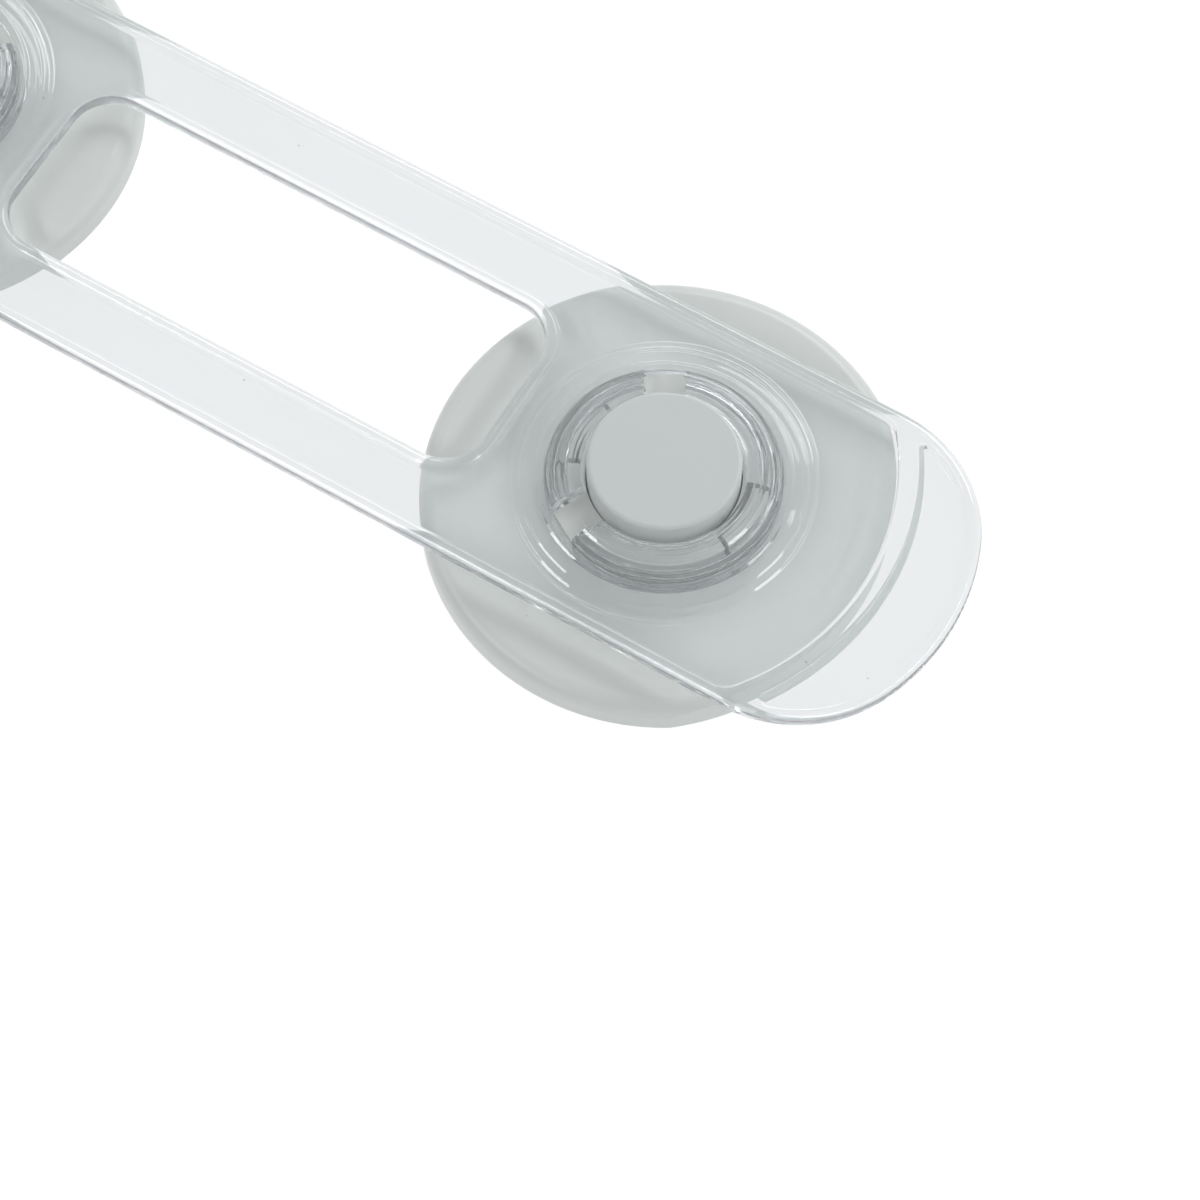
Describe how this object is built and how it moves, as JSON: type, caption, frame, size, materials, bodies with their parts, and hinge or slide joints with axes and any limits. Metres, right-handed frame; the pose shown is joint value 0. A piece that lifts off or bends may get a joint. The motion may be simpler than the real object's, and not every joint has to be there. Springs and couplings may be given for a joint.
{
  "type": "cabinet safety lock",
  "caption": "Clear slotted strap that clips over a round push-button catch on a stick-on base at each end, with finger tabs and raised grip ridges.",
  "frame": {"origin": "middle of the lock, between its ends, on the plane of the adhesive faces", "axes": "+X along the strap, +Z away from the cabinet, out of the push buttons; +Y across the strap"},
  "size_m": [0.1586, 0.0494, 0.0111],
  "materials": {
    "clear_plastic": "clear moulded, glossy",
    "grey_plastic": "moulded, satin gloss",
    "button_plastic": "moulded, satin",
    "plate_plastic": "moulded, matte",
    "foam": "closed-cell foam tape, matte",
    "spring_steel": "drawn wire"
  },
  "bodies": {
    "left_base": {"left_base_shell": "grey_plastic", "left_back_plate": "plate_plastic", "left_adhesive_pad": "foam", "left_return_spring": "spring_steel"},
    "left_push": {"left_button": "button_plastic"},
    "lifting_strap": {"strap": "clear_plastic"},
    "right_base": {"right_base_shell": "grey_plastic", "right_back_plate": "plate_plastic", "right_adhesive_pad": "foam", "right_return_spring": "spring_steel"},
    "right_push": {"right_button": "button_plastic"}
  },
  "joints": [
    {"name": "left_button_press", "type": "slide", "parent": "left_base", "child": "left_push", "axis": [0, 0, -1], "range_m": [0, 0.0019], "stiffness_N_per_m": 900, "springref_m": -0.003, "deforming": ["left_return_spring"]},
    {"name": "strap_lift", "type": "slide", "parent": "left_base", "child": "lifting_strap", "axis": [0, 0, 1], "range_m": [0, 0.014]},
    {"name": "right_base_drop", "type": "slide", "parent": "lifting_strap", "child": "right_base", "axis": [0, 0, -1], "range_m": [0, 0.014]},
    {"name": "right_button_press", "type": "slide", "parent": "right_base", "child": "right_push", "axis": [0, 0, -1], "range_m": [0, 0.0019], "stiffness_N_per_m": 900, "springref_m": -0.003, "deforming": ["right_return_spring"]}
  ]
}
